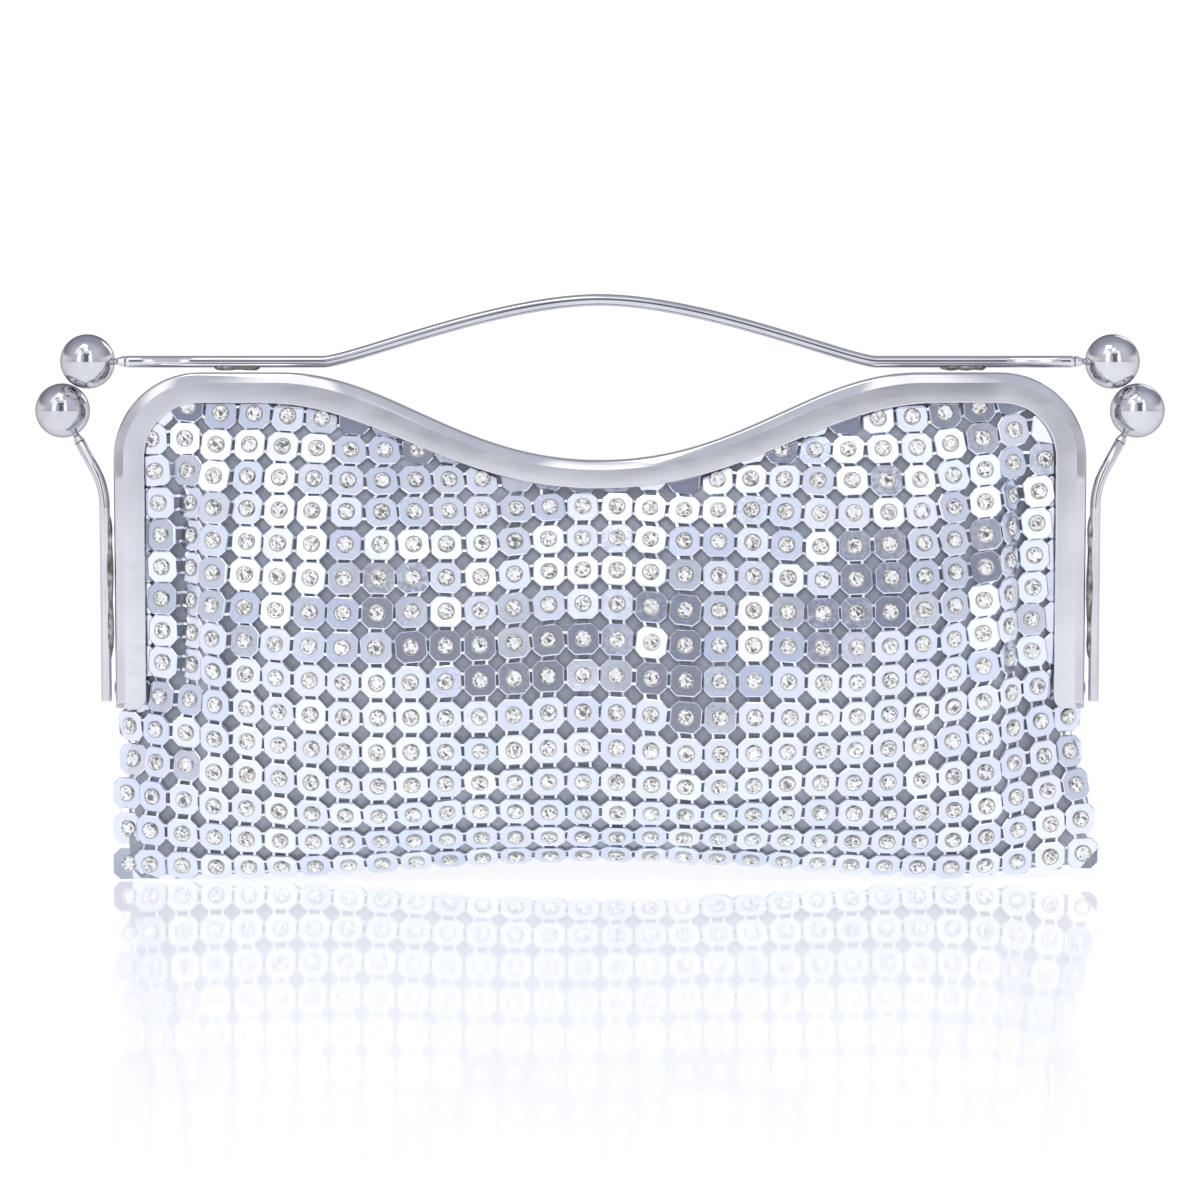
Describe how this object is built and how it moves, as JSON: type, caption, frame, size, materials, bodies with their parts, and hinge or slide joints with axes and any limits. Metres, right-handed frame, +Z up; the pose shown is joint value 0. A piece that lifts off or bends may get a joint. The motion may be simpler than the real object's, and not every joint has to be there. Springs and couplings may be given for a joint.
{
  "type": "evening bag",
  "caption": "Kiss-lock evening clutch: dipped polished frame in hinged halves, bowed wire handle, ball clasps, and a soft pouch skinned in linked stone-set metal plates.",
  "frame": {"origin": "bottom centre of the bounding box, on the surface that the bag stands on", "axes": "+X runs across the bag to its right as seen from the front, -Y is the front, +Z is up through the handle"},
  "size_m": [0.2702, 0.048, 0.1409],
  "materials": {
    "polished_frame": "mirror polished nickel plate",
    "plate_mesh": "bright rolled plates with set clear stones",
    "braze_metal": "dull braze",
    "backing_cloth": "plain weave",
    "satin_lining": "satin",
    "paper_cord": "twisted kraft paper"
  },
  "bodies": {
    "pouch": {"mesh_base": "plate_mesh", "backing_base": "backing_cloth", "lining_base": "satin_lining", "hinge_rivet_left": "polished_frame", "hinge_rivet_right": "polished_frame"},
    "front_half": {"front_frame": "polished_frame", "front_paper_cord": "paper_cord", "mesh_front": "plate_mesh", "backing_front": "backing_cloth", "lining_front": "satin_lining", "side_wire_left": "polished_frame", "side_wire_right": "polished_frame", "side_braze_left": "braze_metal", "side_braze_right": "braze_metal", "lower_ball_left": "polished_frame", "lower_ball_right": "polished_frame"},
    "rear_half": {"rear_frame": "polished_frame", "rear_paper_cord": "paper_cord", "mesh_rear": "plate_mesh", "backing_rear": "backing_cloth", "lining_rear": "satin_lining", "slip_pocket": "satin_lining", "handle_rod": "polished_frame", "handle_braze_left": "braze_metal", "handle_braze_right": "braze_metal", "upper_ball_left": "polished_frame", "upper_ball_right": "polished_frame"}
  },
  "joints": [
    {"name": "front_opening", "type": "hinge", "parent": "pouch", "child": "front_half", "pos_m": [0, 0, 0.0465], "axis": [1, 0, 0], "range_deg": [0, 30]},
    {"name": "rear_opening", "type": "hinge", "parent": "pouch", "child": "rear_half", "pos_m": [0, 0, 0.0465], "axis": [1, 0, 0], "range_deg": [-30, 0]}
  ],
  "couplings": [
    {"joint": "rear_opening", "follows": "front_opening", "ratio": -1}
  ]
}
